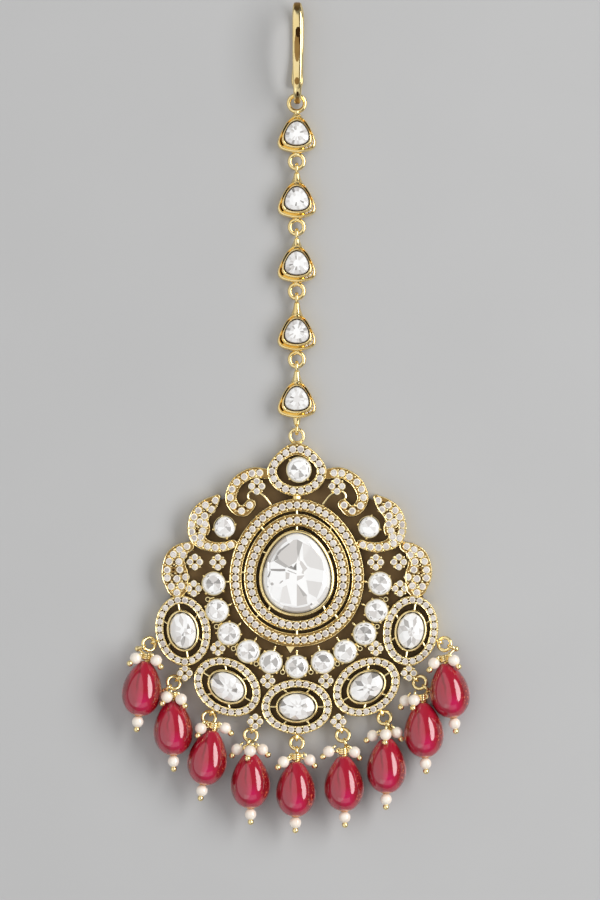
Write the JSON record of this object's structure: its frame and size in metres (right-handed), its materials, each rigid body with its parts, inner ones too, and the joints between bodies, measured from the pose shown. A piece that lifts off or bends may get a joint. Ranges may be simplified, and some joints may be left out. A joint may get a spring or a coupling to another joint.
{
  "type": "maang tikka",
  "caption": "Hair ornament lying face up: flat hook, chain of triangular stone settings, paved openwork pendant on a closed back with egg-shaped centre stone, fringe of red drops and pearls.",
  "frame": {"origin": "middle of the flat closed back under the centre stone, on the surface it lies on", "axes": "+Y along the ornament from the fringe to the hook, +Z from the closed back out through the stones, +X across"},
  "size_m": [0.0588, 0.1406, 0.0068],
  "materials": {
    "gold": "warm yellow gold plate over brass, polished, darker in the recesses",
    "clear_stone": "white rose-cut stones with broad flat facets, foil backed, opaque from above",
    "pave_stone": "small round white stones with a grey table, set close between gold beads",
    "ruby_red": "deep raspberry red polished glass, slightly translucent",
    "pearl": "cream white pearl with a soft pinkish lustre"
  },
  "bodies": {
    "root": {"hair_hook": "gold", "station_setting_1": "gold", "station_setting_2": "gold", "station_setting_3": "gold", "station_setting_4": "gold", "station_setting_5": "gold", "pendant_frame": "gold", "drop_hanger_1": "gold", "drop_hanger_2": "gold", "drop_hanger_3": "gold", "drop_hanger_4": "gold", "drop_hanger_5": "gold", "drop_hanger_6": "gold", "drop_hanger_7": "gold", "drop_hanger_8": "gold", "drop_hanger_9": "gold", "station_stone_1": "clear_stone", "station_stone_2": "clear_stone", "station_stone_3": "clear_stone", "station_stone_4": "clear_stone", "station_stone_5": "clear_stone", "centre_stone": "clear_stone", "crown_stone": "clear_stone", "side_stone_left": "clear_stone", "side_stone_right": "clear_stone", "round_stone_01": "clear_stone", "round_stone_02": "clear_stone", "round_stone_03": "clear_stone", "round_stone_04": "clear_stone", "round_stone_05": "clear_stone", "round_stone_06": "clear_stone", "round_stone_07": "clear_stone", "round_stone_08": "clear_stone", "round_stone_09": "clear_stone", "round_stone_10": "clear_stone", "round_stone_11": "clear_stone", "oval_stone_1": "clear_stone", "oval_stone_2": "clear_stone", "oval_stone_3": "clear_stone", "oval_stone_4": "clear_stone", "oval_stone_5": "clear_stone", "ruby_drop_1": "ruby_red", "ruby_drop_2": "ruby_red", "ruby_drop_3": "ruby_red", "ruby_drop_4": "ruby_red", "ruby_drop_5": "ruby_red", "ruby_drop_6": "ruby_red", "ruby_drop_7": "ruby_red", "ruby_drop_8": "ruby_red", "ruby_drop_9": "ruby_red"}
  },
  "joints": []
}
